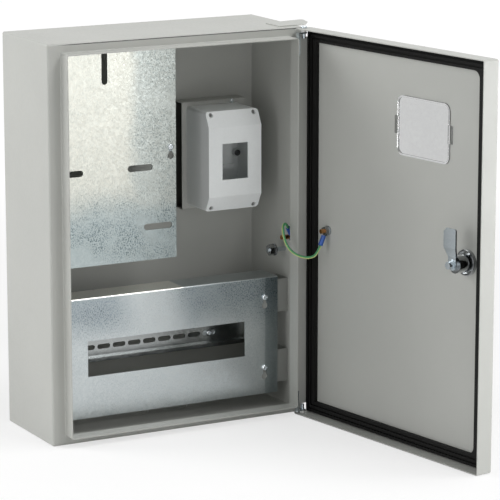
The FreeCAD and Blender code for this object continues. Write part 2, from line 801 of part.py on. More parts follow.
def frame_screws():
    """Round headed screws close to the raised frame's upper and lower edge."""
    screws = []
    for x, z in frame_screw_points():
        y = frame_front_y
        top = y - frame_screw_head_height
        head = rod(frame_screw_head_radius, (x, top, z), Y_AXIS, frame_screw_head_height)
        head = round_edges(head, frame_screw_head_height * 0.6, lambda e: e.BoundBox.YMax < top + 0.01)
        slot = block(x - 3, x + 3, top - 1, top + 0.8, z - 0.4, z + 0.4)
        screws.append(fuse([head.cut(slot), rod(screw_radius, (x, y, z), Y_AXIS, frame_sheet + 1)]))
    return screws


def box_profile(inset, y_back):
    """Side view of the module box: its front stands forward between two slopes."""
    half = module_box_height / 2 - inset
    y_side = frame_front_y - module_box_side_depth + inset
    y_crown = y_side - module_box_crown
    slope = module_box_height / 2 - module_box_slope
    profile = [(y_back, half), (y_side, half), (y_crown, slope), (y_crown, -slope), (y_side, -half),
               (y_back, -half)]
    x0 = module_box_middle_x - module_box_width / 2 + inset
    points = [Vector(x0, y, module_middle_z + z) for y, z in profile]
    face = Part.Face(Part.makePolygon(points + points[:1]))
    return face.extrude(Vector(module_box_width - 2 * inset, 0, 0))


def box_split_y():
    return frame_front_y - module_box_split


def module_box_base():
    solid = box_profile(0, frame_front_y)
    solid = round_edges(solid, module_box_corner_radius, lambda e: along(e, Y_AXIS))
    hollow = box_profile(module_box_wall, frame_front_y - module_box_wall)
    keep = block(0, half_width, box_split_y(), frame_front_y, -half_height, half_height)
    base = solid.cut(hollow).common(keep)
    for x in module_fixing_xs():
        start = (x, module_fixing_y(), module_middle_z)
        base = fuse([base, rod(module_fixing_boss_radius, start, Y_AXIS, module_fixing_boss_height)])
        base = base.cut(rod(screw_radius, start, Y_AXIS, screw_length))
    return base


def module_fixing_xs():
    reach = module_box_width / 2 - module_fixing_inset
    return module_box_middle_x - reach, module_box_middle_x + reach


def module_fixing_y():
    return frame_front_y - module_box_wall - module_fixing_boss_height


def module_box_fixings():
    """The base's two fixing screws, each on a boss half way up."""
    return [pan_screw(x, module_fixing_y(), module_middle_z) for x in module_fixing_xs()]


def module_screw_points():
    x = module_box_width / 2 - module_screw_inset_x
    z = module_box_height / 2 - module_screw_inset_z
    return [(module_box_middle_x + sx * x, module_middle_z + sz * z) for sx in (-1, 1) for sz in (-1, 1)]


def module_box_cover():
    solid = box_profile(0, frame_front_y)
    solid = round_edges(solid, module_box_corner_radius, lambda e: along(e, Y_AXIS))
    hollow = box_profile(module_box_wall, frame_front_y - module_box_wall)
    far_y = frame_front_y - module_box_side_depth - module_box_crown
    keep = block(0, half_width, far_y - 1, box_split_y(), -half_height, half_height)
    cover = solid.cut(hollow).common(keep)
    half_x = module_window_width / 2
    half_z = module_window_height / 2
    window = block(module_box_middle_x - half_x, module_box_middle_x + half_x, far_y - 1, far_y + 10,
                   module_middle_z - half_z, module_middle_z + half_z)
    cover = cover.cut(window)
    # A boss under each corner screw joins the cover's front to the split, round a well for the head.
    for x, z in module_screw_points():
        boss = rod(module_screw_well_radius + 1.4, (x, far_y, z), Y_AXIS, box_split_y() - far_y)
        cover = fuse([cover, boss.common(solid)])
        cover = cover.cut(rod(module_screw_well_radius, (x, far_y - 1, z), Y_AXIS,
                              screw_seat_y() - far_y + 1))
    return cover


def screw_seat_y():
    return frame_front_y - module_box_side_depth + module_screw_well_depth + 1.0


def module_box_screws():
    """Cover screws: a slotted cheese head low in each well."""
    screws = []
    for x, z in module_screw_points():
        y = screw_seat_y()
        head = rod(module_screw_well_radius - 0.3, (x, y - 1.6, z), Y_AXIS, 1.6)
        slot = block(x - 3, x + 3, y - 2, y - 1.0, z - 0.4, z + 0.4)
        screws.append(head.cut(slot))
    return screws


def inner_rail():
    y_front = frame_front_y - module_box_wall - module_rail_stand - rail_depth
    x0 = module_box_middle_x - module_rail_length / 2
    rail = hat_rail(x0, module_rail_length, y_front, module_middle_z)
    blocks = []
    for sign in (-1, 1):
        x = module_box_middle_x + sign * (module_rail_length / 2 - 8)
        blocks.append(block(x - 5, x + 5, y_front + rail_depth, frame_front_y - module_box_wall,
                            module_middle_z - 12, module_middle_z + 12))
    return fuse([rail] + blocks)


# Earthing: a stud on the door, one on the side wall, the wire between them, and a main bolt.
def terminal(start, outward, way):
    """A ring terminal: a flat ring on the stud, and a tongue bent up to the end of its sleeve."""
    ring = Part.makeCylinder(terminal_ring_radius, terminal_sheet, start, outward)
    flat = way - outward * way.dot(outward)
    flat.normalize()
    across = flat.cross(outward)
    half = terminal_sleeve_radius * 0.75
    middle = earth_washer_height + sleeve_lift - terminal_sheet / 2
    socket = outward * (middle - earth_washer_height) + way * (terminal_reach + 1.0)
    shift = outward * terminal_sheet
    corner = start - across * half
    profile = [corner, corner + flat * terminal_flat, corner + socket, corner + socket + shift,
               corner + flat * (terminal_flat - 0.4) + shift, corner + shift, corner]
    tongue = Part.Face(Part.makePolygon(profile)).extrude(across * (2 * half))
    hole = Part.makeCylinder(earth_stud_radius, terminal_sheet, start, outward)
    stud_base = start - outward * earth_washer_height
    return fuse([ring, tongue]).cut(hole).cut(sleeve(stud_base, outward, way))


door_stud_base = door_point(door_stud_from_hinge, door_sheet, high(earth_stud_height))
door_outward = swing_point(door_stud_base + Y_AXIS) - swing_point(door_stud_base)
door_stud_start = swing_point(door_stud_base)
body_stud_start = Vector(half_width - body_sheet, -body_stud_from_wall, high(body_stud_above_bottom))
body_outward = Vector(-1, 0, 0)
door_lean = math.radians(door_terminal_lean)
door_sleeve_way = door_outward * math.sin(door_lean) - Z_AXIS * math.cos(door_lean)
body_lean = math.radians(body_terminal_lean)
body_turn = math.radians(body_terminal_turn)
body_sleeve_way = Z_AXIS * math.cos(body_lean) - (
    X_AXIS * math.sin(body_turn) + Y_AXIS * math.cos(body_turn)) * math.sin(body_lean)
sleeve_lift = terminal_sleeve_radius + 0.2


def stud(start, outward, length):
    return Part.makeCylinder(earth_stud_radius, length, start, outward)


def nut_and_washer(start, outward):
    """A washer and a nut on a stud, over the ring terminal."""
    base = start + outward * (earth_washer_height + terminal_sheet)
    nut = hexagon(earth_nut_flats, earth_nut_height, tuple(base), outward)
    washer = Part.makeCylinder(earth_washer_radius, earth_washer_height, start, outward)
    bore = Part.makeCylinder(earth_stud_radius, 40, start - outward, outward)
    return [nut.cut(bore), washer.cut(bore)]


def sleeve(start, outward, way):
    base = start + outward * (earth_washer_height + sleeve_lift) + way * terminal_reach
    return Part.makeCylinder(terminal_sleeve_radius, terminal_sleeve_length, base, way)


def sleeve_end(start, outward, way):
    reach = terminal_reach + terminal_sleeve_length
    return start + outward * (earth_washer_height + sleeve_lift) + way * reach


def main_bolt():
    """The main earthing bolt, welded in the side wall, with its nut and washers near the end."""
    start = Vector(half_width - body_sheet, -bolt_from_wall, high(bolt_above_bottom))
    shank = Part.makeCylinder(bolt_radius, bolt_length, start, body_outward)
    return shank, start


def main_bolt_nut():
    start = Vector(half_width - body_sheet, -bolt_from_wall, high(bolt_above_bottom))
    pieces = []
    near = start + body_outward * (bolt_length - bolt_head_height - 2.0)
    bore = Part.makeCylinder(bolt_radius, bolt_length + 2, start, body_outward)
    nut = hexagon(bolt_head_flats, bolt_head_height, tuple(near), body_outward)
    washer = Part.makeCylinder(bolt_head_flats * 0.62, 1.2, near - body_outward * 1.2, body_outward)
    pieces.append(fuse([nut, washer]).cut(bore))
    return pieces


wire_exit_body = sleeve_end(body_stud_start, body_outward, body_sleeve_way)
wire_exit_door = sleeve_end(door_stud_start, door_outward, door_sleeve_way)
wire_lead = 12.5
wire_middle = (
    Vector(143.5, -142.0, -2.0),
    Vector(141.2, -149.0, -13.5),
    Vector(142.6, -153.5, -24.0),
    Vector(146.5, -160.5, -32.0),
    Vector(153.6, -168.5, -37.0),
    Vector(163.6, -176.0, -38.8),
)


def wire_points():
    first = wire_exit_body + body_sleeve_way * wire_lead
    last = wire_exit_door + door_sleeve_way * wire_lead
    return [wire_exit_body, first] + list(wire_middle) + [last, wire_exit_door]


def rounded_path(points):
    """Straight runs joined by tangent arcs, each as large as its two runs allow."""
    edges = []
    length = 0.0
    here = points[0]
    for before, point, after in zip(points, points[1:], points[2:]):
        into = (point - before)
        out = (after - point)
        run = min(into.Length, out.Length)
        into.normalize()
        out.normalize()
        turn = math.acos(max(-1.0, min(1.0, into.dot(out))))
        radius = 0.45 * run / math.tan(turn / 2)
        reach = 0.45 * run
        start = point - into * reach
        end = point + out * reach
        inward = (out - into)
        inward.normalize()
        middle = point + inward * (radius / math.cos(turn / 2) - radius)
        edges.append(Part.LineSegment(here, start).toShape())
        edges.append(Part.Arc(start, middle, end).toShape())
        length += (start - here).Length + radius * turn
        print("wire arc radius", round(radius, 1), "turn", round(math.degrees(turn), 1))
        here = end
    edges.append(Part.LineSegment(here, points[-1]).toShape())
    length += (points[-1] - here).Length
    return Part.Wire(edges), length


def earth_wire():
    points = wire_points()
    path, length = rounded_path(points)
    ring = Part.Wire(Part.makeCircle(wire_radius, points[0], points[1] - points[0]))
    tube = path.makePipeShell([ring], True, False)
    expected = math.pi * wire_radius ** 2 * length
    print("wire length", round(length, 1), "volume", round(tube.Volume, 1), "expected", round(expected, 1))
    return tube


def save(name, shapes):
    pieces = shapes if isinstance(shapes, (list, tuple)) else [shapes]
    solids = []
    for piece in pieces:
        solids.extend(piece.Solids)
    shape = solids[0] if len(solids) == 1 else Part.makeCompound(solids)
    if not shape.isValid():
        print("not valid:", name)
    shape.exportStep(os.path.join("parts", name + ".step"))
    print(name, len(solids), round(shape.Volume / 1000, 2), "cm3")


def main():
    os.makedirs("parts", exist_ok=True)
    save("cabinet_shell", cabinet_shell())
    save("door_panel", door_panel())
    save("window_pane", window_pane())
    save("door_seal", door_seal())
    save("hinge_bracket_lower", hinge_bracket(tab_low_z, True))
    save("hinge_bracket_upper", hinge_bracket(tab_high_z, False))
    lower_pin, upper_pin = hinge_pins()
    save("hinge_pin_lower", lower_pin)
    save("hinge_pin_upper", upper_pin)
    lower_bush, upper_bush = hinge_bushes()
    save("hinge_bush_lower", lower_bush)
    save("hinge_bush_upper", upper_bush)
    save("corner_plate", corner_plate())
    save("lock_body", lock_body())
    save("lock_ring", lock_ring())
    save("lock_core", lock_core())
    save("lock_cam", lock_cam())
    save("cam_bolt", cam_bolt())
    save("meter_plate", meter_plate())
    save("plate_post", plate_post())
    save("plate_side_bracket", plate_side_bracket())
    save("plate_screws", plate_screws())
    save("module_cover", module_cover())
    for index, name in enumerate(("left_lower", "left_upper", "right_lower", "right_upper")):
        save("cover_bracket_" + name, cover_bracket(index))
    save("cover_screws", cover_screws())
    save("module_rail", module_rail())
    for x, name in zip(rail_screw_xs(), ("left", "right")):
        save("rail_post_" + name, rail_post(x))
    save("rail_screws", rail_screws())
    save("raised_frame", raised_frame())
    save("frame_screws", frame_screws())
    save("module_box_base", module_box_base())
    save("module_box_cover", module_box_cover())
    save("module_box_screws", module_box_screws())
    save("module_box_fixings", module_box_fixings())
    save("module_box_rail", inner_rail())
    save("door_earth_stud", stud(door_stud_start, door_outward, door_stud_length))
    save("door_earth_nut", nut_and_washer(door_stud_start, door_outward))
    save("door_earth_terminal", terminal(door_stud_start + door_outward * earth_washer_height, door_outward,
                                         door_sleeve_way))
    save("door_terminal_sleeve", sleeve(door_stud_start, door_outward, door_sleeve_way))
    save("body_earth_stud", stud(body_stud_start, body_outward, body_stud_length))
    save("body_earth_nut", nut_and_washer(body_stud_start, body_outward))
    save("body_earth_terminal", terminal(body_stud_start + body_outward * earth_washer_height, body_outward,
                                         body_sleeve_way))
    save("body_terminal_sleeve", sleeve(body_stud_start, body_outward, body_sleeve_way))
    save("main_earth_bolt", main_bolt()[0])
    save("main_earth_nut", main_bolt_nut())
    save("earth_wire", earth_wire())


main()
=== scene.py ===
import bpy
import json
import math
import numpy as np
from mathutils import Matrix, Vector


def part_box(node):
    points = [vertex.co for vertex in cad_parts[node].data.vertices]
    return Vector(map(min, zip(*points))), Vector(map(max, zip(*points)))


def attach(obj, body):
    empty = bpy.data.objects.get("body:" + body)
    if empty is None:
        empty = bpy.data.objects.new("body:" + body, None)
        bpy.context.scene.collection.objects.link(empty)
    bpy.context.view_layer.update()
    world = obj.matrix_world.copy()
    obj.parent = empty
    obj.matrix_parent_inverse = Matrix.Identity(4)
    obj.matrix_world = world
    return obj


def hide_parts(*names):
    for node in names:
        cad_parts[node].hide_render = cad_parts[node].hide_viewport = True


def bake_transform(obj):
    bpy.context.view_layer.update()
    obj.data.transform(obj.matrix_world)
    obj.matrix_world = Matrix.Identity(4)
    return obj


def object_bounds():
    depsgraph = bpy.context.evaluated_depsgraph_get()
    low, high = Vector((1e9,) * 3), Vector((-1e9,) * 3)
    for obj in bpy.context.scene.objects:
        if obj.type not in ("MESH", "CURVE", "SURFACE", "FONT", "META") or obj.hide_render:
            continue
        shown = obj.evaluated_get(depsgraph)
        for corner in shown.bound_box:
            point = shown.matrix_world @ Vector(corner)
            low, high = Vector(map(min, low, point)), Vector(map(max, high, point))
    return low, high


# Electric meter box: finishes, the end of the mounting rail, the earthing lead, the floor, the light
# and the camera. Lengths are in metres, in the part's own frame: X to the right, Y to the wall, Z up.
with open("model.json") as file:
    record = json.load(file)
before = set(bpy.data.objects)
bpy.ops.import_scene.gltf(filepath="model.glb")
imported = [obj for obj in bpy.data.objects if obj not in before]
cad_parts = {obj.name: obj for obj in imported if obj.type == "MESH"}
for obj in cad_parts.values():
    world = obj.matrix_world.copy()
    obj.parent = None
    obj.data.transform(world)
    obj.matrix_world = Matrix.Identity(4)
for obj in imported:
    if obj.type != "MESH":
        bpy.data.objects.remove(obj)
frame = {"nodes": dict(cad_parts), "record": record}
cad_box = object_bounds()
nodes = frame["nodes"]

# Sizes that the pieces below share with the solids
wire_diameter = 0.0034
wire_exit_body = (0.1598, -0.1269, -0.0082)
wire_exit_door = (0.1764, -0.1810, -0.0227)
floor_z = cad_box[0][2]


# Helpers for node trees
def group(name, inputs, outputs):
    """An empty shader node group with its sockets, and its input and output nodes."""
    tree = bpy.data.node_groups.new(name, "ShaderNodeTree")
    for label, kind, value in inputs:
        tree.interface.new_socket(label, in_out="INPUT", socket_type=kind).default_value = value
    for label, kind in outputs:
        tree.interface.new_socket(label, in_out="OUTPUT", socket_type=kind)
    return tree, tree.nodes.new("NodeGroupInput"), tree.nodes.new("NodeGroupOutput")


def material(name):
    """A node material with its node tree and its Principled shader."""
    finish = bpy.data.materials.new(name)
    finish.use_nodes = True
    tree = finish.node_tree
    return finish, tree, tree.nodes["Principled BSDF"]


def add(tree, kind, settings=None, **inputs):
    """Adds a node to a tree: settings are its options, and inputs its socket values."""
    node = tree.nodes.new(kind)
    for key, value in (settings or {}).items():
        setattr(node, key, value)
    for key, value in inputs.items():
        node.inputs[key.replace("_", " ")].default_value = value
    return node


def place_group(tree, shared, **inputs):
    """Adds a shared node group to a tree."""
    return add(tree, "ShaderNodeGroup", {"node_tree": shared}, **inputs)


def object_coordinates(tree):
    """The place on the piece, in metres."""
    return add(tree, "ShaderNodeTexCoord").outputs["Object"]


def axes(tree, vector):
    """The X, Y and Z of a vector."""
    split = add(tree, "ShaderNodeSeparateXYZ")
    tree.links.new(vector, split.inputs[0])
    return [split.outputs[axis] for axis in "XYZ"]


def maths(tree, operation, first, second=0.0):
    """Two values, or a value and a number, through one operation."""
    node = add(tree, "ShaderNodeMath", {"operation": operation})
    for k, value in enumerate((first, second)):
        if isinstance(value, float):
            node.inputs[k].default_value = value
        else:
            tree.links.new(value, node.inputs[k])
    return node.outputs[0]


def vectors(tree, operation, *values):
    """Vectors, as sockets or constants, through one operation."""
    node = add(tree, "ShaderNodeVectorMath", {"operation": operation})
    for k, value in enumerate(values):
        if isinstance(value, tuple):
            node.inputs[k].default_value = value
        else:
            tree.links.new(value, node.inputs[k])
    return node


def off_centre(tree, colour, amount):
    """A colour's channels as a vector around zero, times an amount."""
    centred = vectors(tree, "SUBTRACT", colour, (0.5, 0.5, 0.5))
    node = vectors(tree, "SCALE", centred.outputs["Vector"])
    tree.links.new(amount, node.inputs["Scale"])
    return node.outputs["Vector"]


def noise(tree, where, scale, detail, roughness=0.5):
    """Noise at a place, with a scale that is a number or a socket."""
    node = add(tree, "ShaderNodeTexNoise", Detail=detail, Roughness=roughness)
    tree.links.new(where, node.inputs["Vector"])
    if isinstance(scale, float):
        node.inputs["Scale"].default_value = scale
    else:
        tree.links.new(scale, node.inputs["Scale"])
    return node


def smooth_step(tree, value, low, high):
    """A value that rises smoothly from 0 at low to 1 at high, or falls where high is the smaller."""
    step = add(tree, "ShaderNodeMapRange", {"interpolation_type": "SMOOTHSTEP"}, From_Min=low, From_Max=high)
    tree.links.new(value, step.inputs["Value"])
    return step.outputs["Result"]


def value_range(tree, mask, low, high, from_low=0.0, from_high=1.0):
    """A number that goes from low to high as the mask does."""
    spread = add(tree, "ShaderNodeMapRange", From_Min=from_low, From_Max=from_high, To_Min=low, To_Max=high)
    tree.links.new(mask, spread.inputs["Value"])
    return spread.outputs["Result"]


def two_tones(tree, mask, low, high, low_colour, high_colour):
    """A colour ramp from one colour to another as the mask goes from low to high."""
    ramp = add(tree, "ShaderNodeValToRGB")
    for stop, place, colour in zip(ramp.color_ramp.elements, (low, high), (low_colour, high_colour)):
        stop.position = place
        stop.color = (*colour, 1.0)
    tree.links.new(mask, ramp.inputs["Fac"])
    return ramp.outputs["Color"]


def mixed(tree, colour, other, factor, blend):
    """Two colours mixed in a blend mode: the other one and the factor may be constants."""
    mix = add(tree, "ShaderNodeMix", {"data_type": "RGBA", "blend_type": blend})
    tree.links.new(colour, mix.inputs["A"])
    if isinstance(factor, float):
        mix.inputs["Factor"].default_value = factor
    else:
        tree.links.new(factor, mix.inputs["Factor"])
    if isinstance(other, tuple):
        mix.inputs["B"].default_value = (*other, 1.0)
    else:
        tree.links.new(other, mix.inputs["B"])
    return mix.outputs["Result"]


def tinted(tree, colour, tint, factor=1.0):
    """A colour multiplied by another."""
    return mixed(tree, colour, tint, factor, "MULTIPLY")


def bump(tree, height, distance, strength):
    """A normal from a height: the distance is the height of one, in metres."""
    node = add(tree, "ShaderNodeBump", Strength=strength, Distance=distance)
    tree.links.new(height, node.inputs["Height"])
    return node.outputs["Normal"]


# Node groups shared by the materials
cloud_scale = 7.0
cloud_limits = (0.3, 0.7)


def powder_grain():
    """Powder coat: a fine orange peel height and a faint cloudiness of tone."""
    tree, start, end = group(
        "powder_grain",
        [("Grain Size", "NodeSocketFloat", 900.0)],
        [("Height", "NodeSocketFloat"), ("Cloud", "NodeSocketFloat")],
    )
    where = object_coordinates(tree)
    peel = noise(tree, where, start.outputs["Grain Size"], detail=2.0, roughness=0.6)
    cloud = noise(tree, where, cloud_scale, detail=3.0)
    tree.links.new(peel.outputs["Fac"], end.inputs["Height"])
    tree.links.new(cloud.outputs["Fac"], end.inputs["Cloud"])
    return tree


crystal_warp_scale = 90.0
crystal_warp = (0.006, 0.006, 0.006)
speck_scale = 860.0
speck_stretch = (1.0, 1.0, 0.55)
speck_limits = (0.50, 0.62)
patch_scale = 16.0
patch_limits = (0.34, 0.54)


def zinc_spangle():
    """Galvanised sheet: small crystals, each with its own tone and slight tilt, and dark specks that
    are drawn out upwards and gather in patches. The specks are painted reflection: crystal facets that catch
    dark surroundings."""
    tree, start, end = group(
        "zinc_spangle",
        [("Crystals Per Metre", "NodeSocketFloat", 160.0), ("Tilt", "NodeSocketFloat", 0.1)],
        [("Tone", "NodeSocketFloat"), ("Specks", "NodeSocketFloat"), ("Normal", "NodeSocketVector")],
    )
    where = object_coordinates(tree)
    warp = noise(tree, where, crystal_warp_scale, detail=2.0)
    bent = vectors(tree, "MULTIPLY_ADD", warp.outputs["Color"], crystal_warp, where)
    crystal = add(tree, "ShaderNodeTexVoronoi", Randomness=1.0)
    tree.links.new(bent.outputs["Vector"], crystal.inputs["Vector"])
    tree.links.new(start.outputs["Crystals Per Metre"], crystal.inputs["Scale"])
    tone = add(tree, "ShaderNodeSeparateColor")
    tree.links.new(crystal.outputs["Color"], tone.inputs[0])
    tree.links.new(tone.outputs[0], end.inputs["Tone"])
    lean = off_centre(tree, crystal.outputs["Color"], start.outputs["Tilt"])
    tilted = vectors(tree, "ADD", add(tree, "ShaderNodeNewGeometry").outputs["Normal"], lean)
    unit = vectors(tree, "NORMALIZE", tilted.outputs["Vector"])
    tree.links.new(unit.outputs["Vector"], end.inputs["Normal"])
    tall = add(tree, "ShaderNodeMapping", Scale=speck_stretch)
    tree.links.new(where, tall.inputs["Vector"])
    dots = noise(tree, tall.outputs[0], speck_scale, detail=2.0, roughness=0.6)
    patches = noise(tree, where, patch_scale, detail=3.0, roughness=0.6)
    sharp = value_range(tree, dots.outputs["Fac"], 0.0, 1.0, *speck_limits)
    spread = value_range(tree, patches.outputs["Fac"], 0.0, 1.0, *patch_limits)
    tree.links.new(maths(tree, "MULTIPLY", sharp, spread), end.inputs["Specks"])
    return tree


fine_mark_scale = 240.0
mark_limits = (0.16, 0.38)


def handling_marks():
    """Dust and finger marks: a soft uneven mask from two noises."""
    tree, start, end = group(
        "handling_marks",
        [("Mark Size", "NodeSocketFloat", 18.0)],
        [("Mask", "NodeSocketFloat")],
    )
    where = object_coordinates(tree)
    broad = noise(tree, where, start.outputs["Mark Size"], detail=6.0, roughness=0.65)
    fine = noise(tree, where, fine_mark_scale, detail=3.0)
    both = maths(tree, "MULTIPLY", broad.outputs["Fac"], fine.outputs["Fac"])
    tree.links.new(value_range(tree, both, 0.0, 1.0, *mark_limits), end.inputs["Mask"])
    return tree


top_seam_z = 0.2482
top_seam_y = (-0.1335, -0.1385)
top_seam_xs = (-0.172, -0.140)
weld_from_x = 0.15
weld_y = -0.1465
weld_heights = (0.2335, 0.2152)
weld_radius = 0.0022
weld_flat_share = 0.4


def sheet_joins():
    """Joins in the cabinet's sheet: the dark line where the top meets the front flange, and the round
    marks of the spot welds inside the collar beside the hinges."""
    tree, start, end = group(
        "sheet_joins",
        [("Line Width", "NodeSocketFloat", 0.0012)],
        [("Line", "NodeSocketFloat"), ("Welds", "NodeSocketFloat")],
    )
    side, depth, height = axes(tree, object_coordinates(tree))
    from_line = maths(tree, "ABSOLUTE", maths(tree, "SUBTRACT", height, top_seam_z))
    line = maths(tree, "LESS_THAN", from_line, maths(tree, "MULTIPLY", start.outputs["Line Width"], 0.5))
    for limit in (maths(tree, "LESS_THAN", depth, top_seam_y[0]),
                  maths(tree, "GREATER_THAN", depth, top_seam_y[1]),
                  smooth_step(tree, side, *top_seam_xs)):
        line = maths(tree, "MULTIPLY", line, limit)
    tree.links.new(line, end.inputs["Line"])
    inward = maths(tree, "SUBTRACT", depth, weld_y)
    level = maths(tree, "ABSOLUTE", height)
    marks = []
    for weld_z in weld_heights:
        above = maths(tree, "SUBTRACT", level, weld_z)
        squares = maths(tree, "ADD", maths(tree, "MULTIPLY", inward, inward),
                        maths(tree, "MULTIPLY", above, above))
        away = maths(tree, "SQRT", squares)
        marks.append(smooth_step(tree, away, weld_radius, weld_radius * weld_flat_share))
    welds = maths(tree, "MULTIPLY", maths(tree, "MAXIMUM", *marks),
                  maths(tree, "GREATER_THAN", side, weld_from_x))
    tree.links.new(welds, end.inputs["Welds"])
    return tree


frame_skin = 0.0004


def frame_gap_shade():
    """Painted shade: one behind the front of the raised frame, between its two folds, and zero beside and
    above it, so that the frame's back and the wall behind it are painted black for the shade of the deep
    gap. The frame's outer faces lie outside. The mask has no end towards the wall, so the wall's outside is
    painted dark there too."""
    tree, _, end = group("frame_gap_shade", [], [("Inside", "NodeSocketFloat")])
    side, depth, height = axes(tree, object_coordinates(tree))
    low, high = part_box("raised_frame")
    inside = maths(tree, "GREATER_THAN", depth, low[1] + frame_skin)
    for k, place in ((0, side), (2, height)):
        past_low = maths(tree, "GREATER_THAN", place, low[k] + frame_skin)
        before_high = maths(tree, "LESS_THAN", place, high[k] - frame_skin)
        inside = maths(tree, "MULTIPLY", inside, maths(tree, "MULTIPLY", past_low, before_high))
    tree.links.new(inside, end.inputs["Inside"])
    return tree


# Darker, bluer zones: painted shade and dark reflection on the meter plate, and a darker upper edge on the
# cover
plate_shade_heights = (0.066, 0.006)
plate_shade_strip = (-0.046, -0.026)
plate_strip_share = 0.52
plate_low_limit = -0.060
cover_dark_heights = (-0.145, -0.095)
cover_dark_share = 0.75
lighter_patch_middle = -0.02
lighter_patch_reach = (0.015, 0.06)
cover_top = -0.0772
reflected_light_top = (0.026, 0.020)
cover_edge = (0.1395, 0.1420)
ragged_scale = 22.0


def zinc_painted_zones():
    """Zones painted on the galvanised sheets. Darker and bluer: the meter plate's lower end and a strip at
    its right, as painted shade and dark reflection, and the upper edge of the cover on both sides of a
    lighter patch. The cover's top is brighter at its left, under the meter plate, as painted light, and its
    front is darker past the screws at its right end, as painted dark reflection."""
    tree, start, end = group(
        "zinc_painted_zones",
        [("Ragged", "NodeSocketFloat", 0.03)],
        [("Dark Zones", "NodeSocketFloat"), ("Bright", "NodeSocketFloat"), ("Dark Reflection", "NodeSocketFloat")],
    )
    where = object_coordinates(tree)
    ragged = noise(tree, where, ragged_scale, detail=4.0, roughness=0.6)
    offset = off_centre(tree, ragged.outputs["Color"], start.outputs["Ragged"])
    across, _, up = axes(tree, vectors(tree, "ADD", where, offset).outputs["Vector"])
    side, _, height = axes(tree, where)
    on_front = maths(tree, "LESS_THAN", height, cover_top)
    on_top = maths(tree, "MULTIPLY", maths(tree, "GREATER_THAN", height, cover_top),
                   maths(tree, "LESS_THAN", height, plate_low_limit))
    # Painted shade and dark reflection on the meter plate's lower end and its right strip
    lower_end = smooth_step(tree, up, *plate_shade_heights)
    right_strip = maths(tree, "MULTIPLY", smooth_step(tree, across, *plate_shade_strip), plate_strip_share)
    plate = maths(tree, "MULTIPLY", maths(tree, "MAXIMUM", lower_end, right_strip),
                  maths(tree, "GREATER_THAN", up, plate_low_limit))
    from_patch = maths(tree, "ABSOLUTE", maths(tree, "SUBTRACT", across, lighter_patch_middle))
    past_patch = smooth_step(tree, from_patch, *lighter_patch_reach)
    beside_patch = maths(tree, "MULTIPLY", past_patch, cover_dark_share)
    upper_edge = maths(tree, "MULTIPLY", smooth_step(tree, up, *cover_dark_heights), on_front)
    cover = maths(tree, "MULTIPLY", upper_edge, beside_patch)
    tree.links.new(maths(tree, "MAXIMUM", plate, cover), end.inputs["Dark Zones"])
    # Painted light on the cover's top, brighter at its left under the meter plate, as light reflected down
    # from the plate
    bright = maths(tree, "MULTIPLY", on_top, smooth_step(tree, side, *reflected_light_top))
    tree.links.new(bright, end.inputs["Bright"])
    # Painted dark reflection on the cover's front past the screws at its right end
    dark_reflection = maths(tree, "MULTIPLY", smooth_step(tree, side, *cover_edge), on_front)
    tree.links.new(dark_reflection, end.inputs["Dark Reflection"])
    return tree


grain_group = powder_grain()
gap_shade_group = frame_gap_shade()
joins_group = sheet_joins()
zone_group = zinc_painted_zones()
spangle_group = zinc_spangle()
marks_group = handling_marks()


# Materials: colours are linear, and bump depths are in metres
paint_grain = 750.0
paint_peel_depth = 0.00012
weld_depth_share = 5.0
seam_tint = (0.16, 0.16, 0.16)
# Painted black shade for the gap behind the raised frame
gap_shade_tint = (0.10, 0.10, 0.09)


def grey_paint(name, low, high):
    """Grey powder coat, light on the cabinet and the door and darker on the cover's angles as painted shade,
    with the marks that the sheet's joins leave and painted black shade in the gap behind the raised frame."""
    finish, tree, shader = material(name)
    grain = place_group(tree, grain_group, Grain_Size=paint_grain)
    joins = place_group(tree, joins_group)
    frame_shade = place_group(tree, gap_shade_group)
    marks = place_group(tree, marks_group, Mark_Size=9.0)
    colour = two_tones(tree, grain.outputs["Cloud"], *cloud_limits, low, high)
    colour = tinted(tree, colour, seam_tint, joins.outputs["Line"])
    # Painted black shade in the gap behind the raised frame
    colour = tinted(tree, colour, gap_shade_tint, frame_shade.outputs["Inside"])
    tree.links.new(colour, shader.inputs["Base Color"])
    tree.links.new(value_range(tree, marks.outputs["Mask"], 0.42, 0.56), shader.inputs["Roughness"])
    welds = maths(tree, "MULTIPLY", joins.outputs["Welds"], weld_depth_share)
    height = maths(tree, "ADD", grain.outputs["Height"], welds)
    tree.links.new(bump(tree, height, paint_peel_depth, strength=0.6), shader.inputs["Normal"])
    return finish


zinc_tones = ((0.90, 0.92, 0.93), (1.0, 1.0, 1.0))
# Painted light colour for the cover's top under the meter plate
reflected_light_zinc = (0.95, 0.94, 0.88)
# Painted reflection: the dark specks stand for crystal facets that catch dark surroundings
speck_tint = (0.34, 0.39, 0.41)
speck_shares = (0.22, 1.2)
# Painted dark reflection tint for the cover's right end
dark_reflection_tint = (0.74, 0.77, 0.78)


